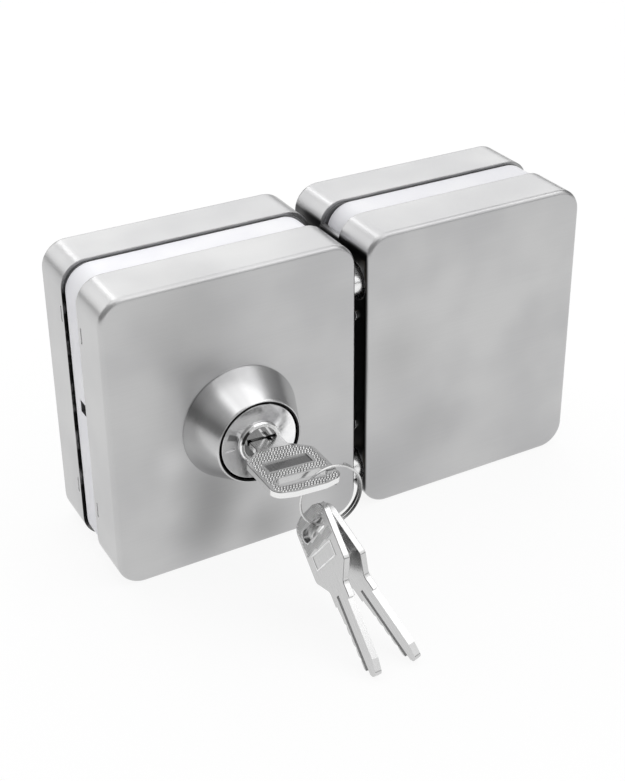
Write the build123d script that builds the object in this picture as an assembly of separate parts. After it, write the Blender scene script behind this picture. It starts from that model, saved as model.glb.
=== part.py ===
from build123d import *
import math
import os

os.makedirs("parts", exist_ok=True)

# Glass door lock: a lock unit and a strike unit, each clamped on one glass leaf.
# Millimetres. +X runs from the lock unit to the strike unit, +Y from the front to the back, +Z up.
# The origin is the middle of the gap between the units, at mid thickness and mid height.

# Units
lock_width = 84.5
strike_width = 82.5
unit_height = 100.0
leaf_gap = 3.8
glass_slot = 12.2
cover_depth = 17.9
cover_wall = 1.2
corner_radius = 8.5
edge_radius = 1.5
seat_clearance = 0.1
cut_past = 1.0  # how far a cutting body runs past the surface that it opens

# Jaws, posts and spine
jaw_thickness = 3.0
post_width = 8.0
post_height = 8.0
post_from_end = 25.0
spine_thickness = 2.1
spine_from_end = 7.0
window_depth = 1.0
window_length = 5.6
window_inset = 1.6
window_from_top = 17.5
window_from_bottom = 20.5
tongue_recess = 0.4

# Packing boards
board_thickness = 11.7
board_inset = 0.8
board_edge_radius = 0.9
board_notch_depth = 3.0
board_notch_height = 4.2
board_notch_level = 4.0
board_notch_back = 0.5

# Key cylinder
cylinder_from_gap = 41.5
cylinder_level = -1.8
flange_radius = 12.85
flange_thickness = 3.0
flange_gap = 0.35
face_chamfer = 0.4
mark_inset = 1.4
mark_height = 1.0
mark_depth = 0.5
flange_front = 13.0
body_radius = 11.5
body_length = 22.4
cone_base_radius = 19.4
cone_rim_radius = 14.1
cone_height = 13.3
cone_wall = 2.4
cone_rim_chamfer = 0.3
cone_foot = 0.4
cone_inner_rim = 12.6
nut_width = 30.0
nut_thickness = 3.5
plug_radius = 6.3
plug_head_radius = 6.85
plug_head_length = 2.5
plug_head_proud = 1.0
plug_rim_width = 1.35
plug_recess = 0.8
tail_radius = 3.0
tail_flat = 2.3
turning_clearance = 0.05
rest_turn = 3.0
clip_thickness = 0.7
clip_depth = 0.6
clip_proud = 1.2
clip_mouth = 4.0

# Pin stacks
pin_count = 5
pin_radius = 1.3
pin_pitch = 3.5
first_pin = 4.5
pin_tip_radius = 0.6
pin_tip_length = 0.5
driver_length = 1.4
pin_hole_spare = 0.4
spring_wire = 0.3
spring_radius = 0.85
spring_turns = 3
cap_thickness = 0.7

# Keys
key_thickness = 2.1
bow_width = 22.6
bow_side_start = 3.2
bow_corner_width = 1.6
bow_corner_length = 1.2
bow_flat = 10.0
bow_corner_radius = 3.0
bow_shoulder_radius = 2.0
bow_edge_chamfer = 0.15
bow_side_end = 19.5
chamfer_end = 24.5
neck_width = 10.4
neck_end = 29.3
blade_width = 8.2
blade_length = 23.2
blade_tip_width = 2.2
blade_tip_length = 4.4
blade_tip_radius = 1.4
blade_tip_shift = 1.6
blade_shoulder = 1.0
ring_slot_length = 16.1
ring_slot_width = 3.8
ring_slot_centre = 6.0
panel_length = 14.4
panel_width = 4.5
panel_centre = 14.5
panel_depth = 0.3
blade_offset = 1.4
groove_width = 1.5
groove_depth = 0.6
groove_offset = 1.3
key_clearance = 0.1
first_cut = 0.35
cut_step = 0.25
cut_flat = 1.6
notch_depth = 0.5

# Split ring
ring_wire_radius = 0.4
ring_radius = 10.15
ring_pitch = 1.3
ring_start = 60.0
ring_end = -450.0
ring_lift = 0.26
ring_back = 0.35
hang_clearance = 0.45

# Hanging keys: place on the ring, lean forward, turn and side tilt in degrees
left_key_hang = dict(ring_angle=-118.1, lean=52.2, turn=1.5, tilt=4.3, along_slot=1.1)
right_key_hang = dict(ring_angle=-97.0, lean=54.9, turn=9.5, tilt=-5.4, along_slot=2.7)

# Bolts
bolt_radius = 5.3
bolt_from_end = 15.5
bolt_from_face = 7.6
bolt_reach = 9.0
bolt_length = 37.0
bolt_chamfer = 0.8
guide_length = 11.0
guide_height = 14.0
guide_lip = 3.0
bush_wall = 1.0
socket_clearance = 0.3
socket_wall = 0.7
socket_depth = 12.0
socket_floor = 1.6
wall_hole_radius = 6.6
inner_gap = 0.3

# Carriage, rack and pinion
teeth = 12
module = 1.0
pressure_angle = 20.0
tooth_backlash = 0.16
tooth_addendum = 0.85
tooth_dedendum = 1.15
pinion_thickness = 2.7
pinion_hub_radius = 4.5
pinion_hub_length = 1.0
carriage_thickness = 3.0
carriage_clearance = 0.05
rack_teeth = 6
carriage_bar = 4.5
carriage_arm_width = 15.0
carriage_corner = 2.0
full_turn = 90.0
slide_pin_radius = 2.0
slide_pin_head = 3.2
slot_spare = 0.6

# Screws
clamp_screw_radius = 2.0
clamp_screw_short = 1.0
small_screw_radius = 1.25
screw_head_height = 1.6
screw_slot_width = 0.7
screw_slot_depth = 0.6
drive_reach = 2.2
bolt_screw_head = 1.3
bolt_screw_depth = 6.0
screw_end_gap = 0.5
keeper_screw_from_end = 29.5
keeper_thickness = 2.0
keeper_foot = 16.0
keeper_head_height = 0.5

# Derived places
slot_half = glass_slot / 2
face = slot_half + cover_depth
inner_face = face - cover_wall
jaw_face = slot_half + jaw_thickness
cylinder_x = -leaf_gap / 2 - cylinder_from_gap
flange_face = -(face + flange_front)
body_back = flange_face + body_length
plug_face = flange_face - plug_head_proud
carriage_back = -jaw_face - carriage_clearance
carriage_front = carriage_back - carriage_thickness
pinion_back = carriage_back - 2 * seat_clearance
pinion_front = pinion_back - pinion_thickness
hub_front = pinion_front - pinion_hub_length
pitch_radius = module * teeth / 2
travel = pitch_radius * math.radians(full_turn)
bolt_middle = -(face - bolt_from_face)
bolt_spacing = unit_height - 2 * bolt_from_end
bolt_levels = [cylinder_level + bolt_spacing / 2, cylinder_level - bolt_spacing / 2]
bolt_tip = bolt_reach - leaf_gap / 2
bolt_tail = bolt_tip - bolt_length
window_levels = [unit_height / 2 - window_from_top, window_from_bottom - unit_height / 2]
post_levels = [unit_height / 2 - post_from_end, post_from_end - unit_height / 2]
keeper_screw_levels = [unit_height / 2 - keeper_screw_from_end, keeper_screw_from_end - unit_height / 2]
spine_screw_end = spine_thickness + post_width / 2 - clamp_screw_radius - screw_end_gap
bow_far_end = plug_face - neck_end


# Basic shapes

def block(x_range, y_range, z_range):
    sizes = [high - low for low, high in (x_range, y_range, z_range)]
    centre = [(high + low) / 2 for low, high in (x_range, y_range, z_range)]
    return Pos(*centre) * Box(*sizes)


def slab(outline, y_front, y_back):
    """A plate with the outline seen from the front, from y_front to y_back."""
    return Pos(0, y_back, 0) * extrude(Plane.XZ * outline, y_back - y_front)


def rod_y(radius, x, z, y_front, y_back):
    return Pos(x, (y_front + y_back) / 2, z) * Rot(90, 0, 0) * Cylinder(radius, y_back - y_front)


def rod_x(radius, y, z, x_left, x_right):
    return Pos((x_left + x_right) / 2, y, z) * Rot(0, 90, 0) * Cylinder(radius, x_right - x_left)


def turned_y(points, x, z):
    """A turned piece on an axis along Y; points are (radius, y)."""
    outline = make_face(Polyline(*[(radius, y, 0) for radius, y in points], close=True))
    return Pos(x, 0, z) * revolve(outline, Axis.Y)


def from_gap(side, near, far):
    """The x range of a piece between two distances behind a unit's gap-side face."""
    ends = [side * (leaf_gap / 2 + near), side * (leaf_gap / 2 + far)]
    return min(ends), max(ends)


def wall_cut(side):
    """The x range of a hole through a cover's gap-side wall."""
    return from_gap(side, -cut_past, cover_wall + cut_past)


def half_range(width):
    return -width / 2, width / 2


def unit_width(side):
    return lock_width if side < 0 else strike_width


def unit_middle(side):
    return side * (leaf_gap + unit_width(side)) / 2


# Covers, jaws, spines and boards

def cover(side, back):
    width = unit_width(side)
    outer = slab(RectangleRounded(width, unit_height, corner_radius), -face, -slot_half)
    outer = fillet(outer.faces().sort_by(Axis.Y)[0].edges(), edge_radius)
    hollow = slab(
        RectangleRounded(width - 2 * cover_wall, unit_height - 2 * cover_wall, corner_radius - cover_wall),
        -inner_face,
        -slot_half,
    )
    shell = outer - hollow
    for level in window_levels:
        shell -= Pos(0, -(slot_half + window_inset + window_depth / 2), level) * Box(
            width + 2 * cut_past, window_depth, window_length
        )
    if back:
        shell = mirror(shell, Plane.XZ)
    return Pos(unit_middle(side), 0, 0) * shell


def lock_front_cover():
    shell = cover(-1, back=False)
    shell -= rod_y(
        body_radius + 2 * seat_clearance, cylinder_x, cylinder_level, -face - cut_past, -inner_face + cut_past
    )
    for level in bolt_levels:
        shell -= rod_x(bolt_radius + bush_wall, bolt_middle, level, *wall_cut(-1))
    return shell


def strike_front_cover():
    shell = cover(1, back=False)
    for level in bolt_levels:
        shell -= rod_x(wall_hole_radius, bolt_middle, level, *wall_cut(1))
    for level in keeper_screw_levels:
        shell -= rod_x(small_screw_radius + seat_clearance, bolt_middle, level, *wall_cut(1))
    return shell


def jaw(side, back):
    width = unit_width(side) - 2 * (cover_wall + seat_clearance)
    height = unit_height - 2 * (cover_wall + seat_clearance)
    plate = slab(
        RectangleRounded(width, height, corner_radius - cover_wall),
        -jaw_face,
        -slot_half,
    )
    for level in window_levels:
        plate += Pos(0, -(slot_half + window_inset + window_depth / 2), level) * Box(
            unit_width(side) - 2 * tongue_recess, window_depth, window_length - 4 * seat_clearance
        )
    if back:
        plate = mirror(plate, Plane.XZ)
    return Pos(unit_middle(side), 0, 0) * plate


def post_x(side):
    return side * (leaf_gap / 2 + spine_thickness + post_width / 2)


def front_jaw(side):
    """The front jaw with the two posts that stand across the slot behind the spine."""
    plate = jaw(side, back=False)
    near = spine_thickness
    for level in post_levels:
        plate += block(
            from_gap(side, near, near + post_width),
            (-slot_half, slot_half),
            (level - post_height / 2, level + post_height / 2),
        )
        plate -= rod_y(clamp_screw_radius, post_x(side), level, -jaw_face, slot_half)
        plate -= rod_x(small_screw_radius, 0, level, *from_gap(side, near, spine_screw_end))
    return plate


def lock_front_jaw():
    plate = front_jaw(-1)
    plate -= rod_y(pinion_hub_radius, cylinder_x, cylinder_level, -jaw_face, -slot_half)
    for x, level in slide_pin_places():
        plate -= rod_y(small_screw_radius, x, level, -jaw_face, -slot_half)
    for level in bolt_levels:
        plate -= guide_screw(level)
    return plate


def strike_front_jaw():
    plate = front_jaw(1)
    for level in keeper_screw_levels:
        plate -= rod_y(small_screw_radius, keeper_foot_x(), level, -jaw_face, -slot_half)
    return plate


def back_jaw(side):
    plate = jaw(side, back=True)
    for level in post_levels:
        plate -= rod_y(clamp_screw_radius + seat_clearance, post_x(side), level, slot_half, jaw_face)
    return plate


def clamp_screws(side):
    """Socket screws from the back jaw into the posts."""
    screws = []
    for level in post_levels:
        x = post_x(side)
        head = rod_y(2 * clamp_screw_radius, x, level, jaw_face, jaw_face + 2 * clamp_screw_radius)
        socket = Pos(x, jaw_face + 2 * clamp_screw_radius, level) * Rot(90, 0, 0) * extrude(
            RegularPolygon(clamp_screw_radius, 6), clamp_screw_radius, both=True
        )
        shank = rod_y(clamp_screw_radius, x, level, -jaw_face + clamp_screw_short, jaw_face)
        screws.append(head - socket + shank)
    return screws


def spine(side):
    strip = block(
        from_gap(side, 0, spine_thickness),
        (-slot_half, slot_half),
        half_range(unit_height - 2 * spine_from_end),
    )
    for level in post_levels:
        strip -= spine_screw(side, level)
    return strip


def spine_screw(side, level):
    """Countersunk screw through the spine into a post."""
    shank = rod_x(small_screw_radius, 0, level, *from_gap(side, seat_clearance, spine_screw_end))
    head = Pos(side * (leaf_gap / 2 + small_screw_radius / 2), 0, level) * Rot(0, side * 90, 0) * Cone(
        2 * small_screw_radius, small_screw_radius, small_screw_radius
    )
    return shank + head


def spine_screws(side):
    reach = 1.5 * small_screw_radius
    return [
        spine_screw(side, level)
        - block(
            from_gap(side, -cut_past, screw_slot_depth),
            half_range(screw_slot_width),
            (level - reach, level + reach),
        )
        for level in post_levels
    ]


def filler_board(side):
    """Packing board in the glass slot, notched where the glass is cut out for the posts."""
    near = spine_thickness + seat_clearance
    far = unit_width(side) - board_inset
    x_low, x_high = from_gap(side, near, far)
    outline = Pos((x_low + x_high) / 2, 0) * RectangleRounded(
        x_high - x_low, unit_height - 2 * board_inset, corner_radius
    )
    board = slab(outline, -slot_half, -slot_half + board_thickness)
    board = fillet(board.faces().sort_by(Axis.Y)[-1].edges(), board_edge_radius)
    for level in post_levels:
        board -= block(
            from_gap(side, 0, near + post_width + seat_clearance),
            (-slot_half - cut_past, slot_half + cut_past),
            (level - post_height / 2 - seat_clearance, level + post_height / 2 + seat_clearance),
        )
    return board


def lock_filler_board():
    """The lock unit's board has a small notch in its outer edge."""
    far = unit_width(-1) - board_inset
    return filler_board(-1) - block(
        from_gap(-1, far - board_notch_depth, far + cut_past),
        (-slot_half - cut_past, board_notch_back),
        (board_notch_level - board_notch_height / 2, board_notch_level + board_notch_height / 2),
    )


# Cylinder

def plug_turned(piece):
    """Turns a piece that is made for an upright plug to the angle that the key rests at."""
    centre = Pos(cylinder_x, 0, cylinder_level)
    return centre * Rot(0, rest_turn, 0) * piece


def cone_escutcheon():
    ledge = flange_face + flange_thickness
    bore = flange_radius + flange_gap
    ledge_bore = body_radius + seat_clearance
    rim = -face - cone_height
    cone = turned_y(
        [
            (ledge_bore, ledge),
            (bore, ledge),
            (bore, rim + cone_rim_chamfer),
            (bore + cone_rim_chamfer, rim),
            (cone_rim_radius - cone_rim_chamfer, rim),
            (cone_rim_radius, rim + cone_rim_chamfer),
            (cone_base_radius, -face - cone_foot),
            (cone_base_radius, -face),
            (cone_base_radius - cone_wall, -face),
            (cone_inner_rim, ledge + cone_wall),
            (ledge_bore, ledge + cone_wall),
        ],
        cylinder_x,
        cylinder_level,
    )
    return cone


def pin_places():
    return [plug_face + first_pin + pin_pitch * index for index in range(pin_count)]


def cut_depth(index):
    return first_cut + cut_step * index


def blade_edge():
    """The pin side of the blade, from the plug's axis."""
    return blade_offset - blade_width / 2


def pin_rod(radius, y, inner, outer):
    """A rod across the cylinder on the pin side, between two distances from the axis."""
    return Pos(cylinder_x, 0, cylinder_level) * rod_x(radius, y, 0, -outer, -inner)


def cylinder_body():
    body = rod_y(body_radius, cylinder_x, cylinder_level, flange_face, body_back)
    flange = rod_y(flange_radius, cylinder_x, cylinder_level, flange_face, flange_face + flange_thickness)
    body = chamfer((body + flange).faces().sort_by(Axis.Y)[0].edges(), face_chamfer)
    body -= rod_y(
        plug_radius + turning_clearance,
        cylinder_x,
        cylinder_level,
        flange_face - cut_past,
        body_back + cut_past,
    )
    body -= rod_y(
        plug_head_radius + turning_clearance,
        cylinder_x,
        cylinder_level,
        flange_face - cut_past,
        plug_face + plug_head_length + turning_clearance,
    )
    for y in pin_places():
        body -= pin_rod(pin_radius + turning_clearance, y, plug_radius, body_radius + cut_past)
    index_mark = block(
        (cylinder_x - flange_radius + mark_inset, cylinder_x - plug_head_radius - mark_inset),
        (flange_face - cut_past, flange_face + mark_depth),
        (cylinder_level - mark_height / 2, cylinder_level + mark_height / 2),
    )
    return body - index_mark


def cylinder_nut():
    ring = Pos(cylinder_x, -inner_face + nut_thickness, cylinder_level) * extrude(
        Plane.XZ * RegularPolygon(nut_width / 2, 6, major_radius=False), nut_thickness
    )
    return ring - rod_y(
        body_radius, cylinder_x, cylinder_level, -inner_face - cut_past, -inner_face + nut_thickness + cut_past
    )


def keyway_outline():
    """The key's blade section with its grooves, opened by the key clearance."""
    width = blade_width + 2 * key_clearance
    section = Pos(blade_offset, 0) * Rectangle(width, key_thickness + 2 * key_clearance)
    rib_height = groove_depth - key_clearance
    rib_middle = key_thickness / 2 + key_clearance - rib_height / 2
    for face_side in (-1, 1):
        section -= Pos(blade_offset + face_side * groove_offset, face_side * rib_middle) * Rectangle(
            groove_width - 2 * key_clearance, rib_height
        )
    return section


def plug():
    core = rod_y(plug_radius, 0, 0, plug_face + plug_head_length, hub_front)
    core += rod_y(plug_head_radius, 0, 0, plug_face, plug_face + plug_head_length)
    core = chamfer(core.faces().sort_by(Axis.Y)[0].edges(), face_chamfer)
    core -= rod_y(plug_head_radius - plug_rim_width, 0, 0, plug_face - cut_past, plug_face + plug_recess)
    tail = rod_y(tail_radius, 0, 0, hub_front, pinion_back)
    tail &= block((-tail_radius, tail_radius), (hub_front, pinion_back), (-tail_flat, tail_flat))
    core += tail
    blade_tip = plug_face + blade_length
    core -= slab(keyway_outline(), plug_face - cut_past, blade_tip + key_clearance)
    for index, y in enumerate(pin_places()):
        bottom = -blade_edge() - cut_depth(index) - key_clearance
        core -= rod_x(pin_radius + turning_clearance, y, 0, -plug_radius - cut_past, -bottom)
    core -= rod_y(small_screw_radius, 0, 0, pinion_front, pinion_back)
    clip_seat = clip_range()
    core -= rod_y(plug_radius + cut_past, 0, 0, *clip_seat) - rod_y(clip_inner_radius(), 0, 0, *clip_seat)
    return plug_turned(core)


def clip_inner_radius():
    return plug_radius - clip_depth


def clip_range():
    front = body_back + turning_clearance
    return front, front + clip_thickness


def plug_clip():
    """Open circlip in the groove at the back of the plug."""
    front, back = clip_range()
    outer = plug_radius + clip_proud
    ring = rod_y(outer, 0, 0, front, back) - rod_y(clip_inner_radius(), 0, 0, front, back)
    mouth = block((0, outer + cut_past), (front, back), half_range(clip_mouth))
    return plug_turned(ring - mouth)


def key_pins():
    """Pins that ride in the plug and rest on the cuts of the key."""
    pins = []
    outer = math.sqrt(plug_radius ** 2 - pin_radius ** 2) - turning_clearance
    for index, y in enumerate(pin_places()):
        inner = -blade_edge() - cut_depth(index)
        shank = rod_x(pin_radius, y, 0, -outer, -inner - pin_tip_length)
        tip = Pos(-inner - pin_tip_length / 2, y, 0) * Rot(0, 90, 0) * Cone(
            pin_radius, pin_tip_radius, pin_tip_length
        )
        pins.append(plug_turned(shank + tip))
    return pins


def driver_range():
    inner = plug_radius + turning_clearance / 2
    return inner, inner + driver_length


def spring_range():
    return driver_range()[1], body_radius - cap_thickness - pin_hole_spare


def driver_pins():
    return [pin_rod(pin_radius, y, *driver_range()) for y in pin_places()]


def pin_caps():
    outer = spring_range()[1] + cap_thickness
    return [pin_rod(pin_radius + turning_clearance, y, spring_range()[1], outer) for y in pin_places()]


def biarc(start, start_direction, end, end_direction):
    """Two arcs that leave start and reach end along the given unit directions."""
    span = end - start
    sum_direction = start_direction + end_direction
    square = 4 - sum_direction.dot(sum_direction)
    along = span.dot(sum_direction)
    reach = (math.sqrt(along ** 2 + square * span.dot(span)) - along) / square
    first_corner = start + start_direction * reach
    second_corner = end - end_direction * reach
    middle = (first_corner + second_corner) * 0.5
    return [
        TangentArc(start, middle, tangent=start_direction),
        TangentArc(middle, end, tangent=(second_corner - first_corner).normalized()),
    ]


def wound_wire(radius, wire_radius, pitch, start_angle, end_angle, name):
    """Round wire wound about the Y axis; the coil runs towards -Y as the angle changes."""
    turn_count = abs(end_angle - start_angle) / 360
    way = math.copysign(1, end_angle - start_angle)
    rise = -pitch / (2 * math.pi)

    def point(share):
        angle = math.radians(start_angle + (end_angle - start_angle) * share)
        along = pitch * turn_count * (0.5 - share)
        return Vector(radius * math.cos(angle), along, radius * math.sin(angle))

    def direction(share):
        angle = math.radians(start_angle + (end_angle - start_angle) * share)
        return Vector(-way * radius * math.sin(angle), rise, way * radius * math.cos(angle)).normalized()

    pieces = math.ceil(turn_count * 4)
    path = []
    for index in range(pieces):
        low, high = index / pieces, (index + 1) / pieces
        path += biarc(point(low), direction(low), point(high), direction(high))
    wire = sweep(Plane(origin=point(0), z_dir=direction(0)) * Circle(wire_radius), path=Wire(path))
    if turn_count > 1:
        print(name, "least gap between turns", round(least_gap(point, turn_count, wire_radius), 2))
    return wire


def least_gap(point, turn_count, wire_radius):
    """The least gap between points of a wound wire that lie at least half a turn apart."""
    steps = int(60 * turn_count)
    places = [point(index / steps) for index in range(steps + 1)]
    apart = [
        (places[far] - places[near]).length
        for near in range(len(places))
        for far in range(near + 30, len(places))
    ]
    return min(apart) - 2 * wire_radius


def pin_springs():
    inner, outer = spring_range()
    length = outer - inner
    pitch = (length - spring_wire) / spring_turns
    springs = []
    for y in pin_places():
        coil = wound_wire(spring_radius, spring_wire / 2, pitch, 0, 360 * spring_turns, "pin spring")
        middle = cylinder_x - (inner + outer) / 2
        springs.append(Pos(middle, y, cylinder_level) * Rot(0, 0, 90) * coil)
    return springs


# Keys

def bitted_edge():
    """Points of the cut edge of the blade, each cut deeper towards the tip so that the key pulls free."""
    points = []
    for index in range(pin_count):
        place = neck_end + first_pin + pin_pitch * index
        edge = -blade_width / 2 + cut_depth(index)
        if index > 0:
            points.append((edge + notch_depth, place - pin_pitch / 2))
        points.append((edge, place - cut_flat / 2))
        points.append((edge, place + cut_flat / 2))
    return points


def key_outline():
    """The key from above: across the bow, and along from its far end to the tip."""
    half_bow = bow_width / 2
    half_neck = neck_width / 2
    half_blade = blade_width / 2
    tip = neck_end + blade_length
    left_side = [
        (-bow_flat / 2, 0),
        (-half_bow + bow_corner_width, bow_corner_length),
        (-half_bow, bow_side_start),
        (-half_bow, bow_side_end),
        (-half_neck, chamfer_end),
        (-half_neck, neck_end),
        (-half_blade, neck_end),
        (-half_blade, neck_end + blade_shoulder),
    ]
    left_side += bitted_edge()
    deepest = -half_blade + cut_depth(pin_count - 1)
    tip_points = [
        (deepest, tip - blade_tip_length + blade_shoulder),
        (blade_tip_shift - blade_tip_width / 2, tip),
        (blade_tip_shift + blade_tip_width / 2, tip),
        (half_blade, tip - blade_tip_length),
    ]
    right_side = [
        (half_blade, neck_end),
        (half_neck, neck_end),
        (half_neck, chamfer_end),
        (half_bow, bow_side_end),
        (half_bow, bow_side_start),
        (half_bow - bow_corner_width, bow_corner_length),
        (bow_flat / 2, 0),
    ]
    outline = make_face(Polyline(*(left_side + tip_points + right_side), close=True))
    middle = bow_side_end / 2
    outline = fillet(
        outline.vertices().filter_by_position(Axis.Y, tip - cut_past, tip + cut_past), blade_tip_radius
    )
    outline = fillet(
        outline.vertices().filter_by_position(Axis.Y, -cut_past, middle), bow_corner_radius
    )
    return fillet(
        outline.vertices().filter_by_position(Axis.Y, middle, neck_end - cut_past), bow_shoulder_radius
    )


def key_blank():
    """A key lying flat: its far end at the origin, along +Y, its face with the panel upwards."""
    outline = key_outline()
    outline -= Pos(0, ring_slot_centre) * SlotOverall(ring_slot_length, ring_slot_width)
    key = extrude(outline, key_thickness)
    flat_faces = key.faces().filter_by(Axis.Z)
    key = chamfer(
        flat_faces.edges().filter_by(lambda edge: edge.center().Y < neck_end - cut_past), bow_edge_chamfer
    )
    key -= Pos(0, panel_centre, key_thickness) * Box(panel_length, panel_width, 2 * panel_depth)
    groove_start = chamfer_end + (neck_end - chamfer_end) / 2
    groove_end = neck_end + blade_length + cut_past
    for face_side in (-1, 1):
        key -= Pos(
            face_side * groove_offset,
            (groove_start + groove_end) / 2,
            key_thickness / 2 + face_side * key_thickness / 2,
        ) * Box(groove_width, groove_end - groove_start, 2 * groove_depth)
    return key


def key_in_lock():
    return plug_turned(Pos(blade_offset, bow_far_end, -key_thickness / 2) * key_blank())


def ring_bar_top():
    """The top of the bow's right side bar, that the ring hangs on."""
    across = blade_offset + (ring_slot_length / 2 + bow_width / 2) / 2
    up = key_thickness / 2
    turn = math.radians(rest_turn)
    x = cylinder_x + across * math.cos(turn) + up * math.sin(turn)
    z = cylinder_level - across * math.sin(turn) + up * math.cos(turn)
    return x, z


def ring_centre():
    x, z = ring_bar_top()
    y = bow_far_end + ring_slot_centre + ring_back
    return Vector(x, y, z + ring_lift + ring_wire_radius - ring_radius)


def split_ring():
    wire = wound_wire(ring_radius, ring_wire_radius, ring_pitch, ring_start, ring_end, "split ring")
    return Pos(ring_centre()) * wire


def wire_point(angle):
    """The middle of the first turn of the ring's wire at an angle from +X towards +Z."""
    turn_count = (ring_start - ring_end) / 360
    share = (ring_start - angle) / (ring_start - ring_end)
    turn = math.radians(angle)
    along = ring_pitch * turn_count * (0.5 - share)
    return ring_centre() + Vector(ring_radius * math.cos(turn), along, ring_radius * math.sin(turn))


def hanging_key(ring_angle, lean, turn, tilt, along_slot):
    """A spare key that hangs from the ring by its slot and leans forward."""
    hung_by = (
        along_slot,
        ring_slot_centre - ring_slot_width / 2 + ring_wire_radius + hang_clearance,
        key_thickness / 2,
    )
    hang_frame = Location(Plane(origin=(0, 0, 0), x_dir=(0, -1, 0), z_dir=(1, 0, 0)))
    swung = Rot(0, tilt, turn) * Rot(-lean, 0, 0) * hang_frame
    return Pos(wire_point(ring_angle)) * swung * Pos(*[-value for value in hung_by]) * key_blank()


# Bolt drive

def gear_outline():
    """Spur pinion with involute flanks."""
    slope = math.radians(pressure_angle)
    base = pitch_radius * math.cos(slope)
    tip_radius = pitch_radius + tooth_addendum
    root_radius = pitch_radius - tooth_dedendum
    half_tooth = (math.pi * module / 2 - tooth_backlash) / 2 / pitch_radius
    pitch_roll = math.tan(slope) - slope

    def flank(radius):
        roll = math.acos(min(1.0, base / radius))
        return half_tooth + pitch_roll - (math.tan(roll) - roll)

    flank_start = max(base, root_radius)
    radii = [flank_start + (tip_radius - flank_start) * step / 4 for step in range(5)]
    points = []
    for tooth in range(teeth):
        middle = 2 * math.pi * tooth / teeth
        rising = [(radius, middle - flank(radius)) for radius in radii]
        falling = [(radius, middle + flank(radius)) for radius in reversed(radii)]
        foot = [(root_radius, middle - flank(flank_start))]
        heel = [(root_radius, middle + flank(flank_start))]
        points += foot + rising + falling + heel
    return make_face(Polyline(*[(r * math.cos(a), r * math.sin(a)) for r, a in points], close=True))


def drive_pinion():
    """The pinion on the plug's tail; a tooth points straight down when the key is at rest."""
    toothed = slab(Rot(0, 0, -90) * gear_outline(), pinion_front, pinion_back)
    toothed = Rot(0, -rest_turn, 0) * toothed
    hub = rod_y(pinion_hub_radius, 0, 0, hub_front, pinion_front)
    bore = rod_y(tail_radius + seat_clearance / 2, 0, 0, hub_front, pinion_back)
    flat = tail_flat + seat_clearance / 2
    bore &= block(half_range(3 * tail_radius), (hub_front, pinion_back), (-flat, flat))
    return plug_turned(toothed + hub - bore)


def pinion_screw():
    head_back = pinion_back + screw_head_height
    head = rod_y(tail_radius + pinion_hub_length, 0, 0, pinion_back, head_back)
    shank = rod_y(small_screw_radius, 0, 0, pinion_front, pinion_back)
    drive_depth = (head_back - screw_slot_depth, head_back)
    drive = block(half_range(2 * drive_reach), drive_depth, half_range(screw_slot_width))
    return plug_turned(head + shank - drive)


def rack_level():
    return cylinder_level - pitch_radius


def rack_cut():
    """The window in the carriage round the pinion, with the rack's teeth standing up into it."""
    pinion_tip = pitch_radius + tooth_addendum
    left = cylinder_x - pinion_tip - 4 * seat_clearance
    right = cylinder_x + pinion_tip + travel + 4 * seat_clearance
    top = cylinder_level + pinion_tip + 4 * seat_clearance
    root = rack_level() - tooth_dedendum
    tip = rack_level() + tooth_addendum
    window = Pos((left + right) / 2, (top + root) / 2) * Rectangle(right - left, top - root)
    slope = math.tan(math.radians(pressure_angle))
    half = (math.pi * module / 2 - tooth_backlash) / 2
    foot_half = half + tooth_dedendum * slope
    tip_half = half - tooth_addendum * slope
    pitch = math.pi * module
    for index in range(rack_teeth):
        middle = cylinder_x + pitch * (index - 0.5)
        tooth = Polyline(
            (middle - foot_half, root - cut_past),
            (middle - foot_half, root),
            (middle - tip_half, tip),
            (middle + tip_half, tip),
            (middle + foot_half, root),
            (middle + foot_half, root - cut_past),
            close=True,
        )
        window -= make_face(tooth)
    return window


def carriage_frame():
    """The outer box of the carriage's middle: left, right, bottom and top."""
    pinion_tip = pitch_radius + tooth_addendum
    left = cylinder_x - pinion_tip - 4 * seat_clearance - carriage_bar
    right = cylinder_x + pinion_tip + travel + 4 * seat_clearance + carriage_bar
    bar = carriage_bar + 2 * slide_pin_radius
    top = cylinder_level + pinion_tip + 4 * seat_clearance + bar
    bottom = rack_level() - tooth_dedendum - bar
    return left, right, bottom, top


def slide_pin_places():
    """The shoulder pins, above and below the pinion's window."""
    left, right, bottom, top = carriage_frame()
    inset = carriage_bar / 2 + slide_pin_radius
    x = left + carriage_bar + slide_pin_radius
    return [(x, top - inset), (x, bottom + inset)]


def bolt_carriage():
    left, right, bottom, top = carriage_frame()
    middle = Pos((left + right) / 2, (bottom + top) / 2) * RectangleRounded(
        right - left, top - bottom, carriage_corner
    )
    arm_low = bolt_levels[1] - bolt_radius
    arm_high = bolt_levels[0] + bolt_radius
    arm_middle = arm_x()
    arms = Pos(arm_middle, (arm_low + arm_high) / 2) * RectangleRounded(
        carriage_arm_width, arm_high - arm_low, carriage_corner
    )
    outline = middle + arms - rack_cut()
    for x, level in slide_pin_places():
        slot_length = travel + 2 * (slide_pin_radius + slot_spare)
        slot_x = x + travel / 2
        outline -= Pos(slot_x, level) * SlotOverall(slot_length, 2 * (slide_pin_radius + carriage_clearance))
    plate = slab(outline, carriage_front, carriage_back)
    for level in bolt_levels:
        for x in bolt_screw_places():
            plate -= rod_y(small_screw_radius + seat_clearance, x, level, carriage_front, carriage_back)
            plate -= rod_y(2 * small_screw_radius, x, level, carriage_back - bolt_screw_head, carriage_back)
    return plate


def arm_x():
    return bolt_tail + carriage_arm_width / 2


def bolt_screw_places():
    return [arm_x() - carriage_arm_width / 4, arm_x() + carriage_arm_width / 4]


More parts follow.
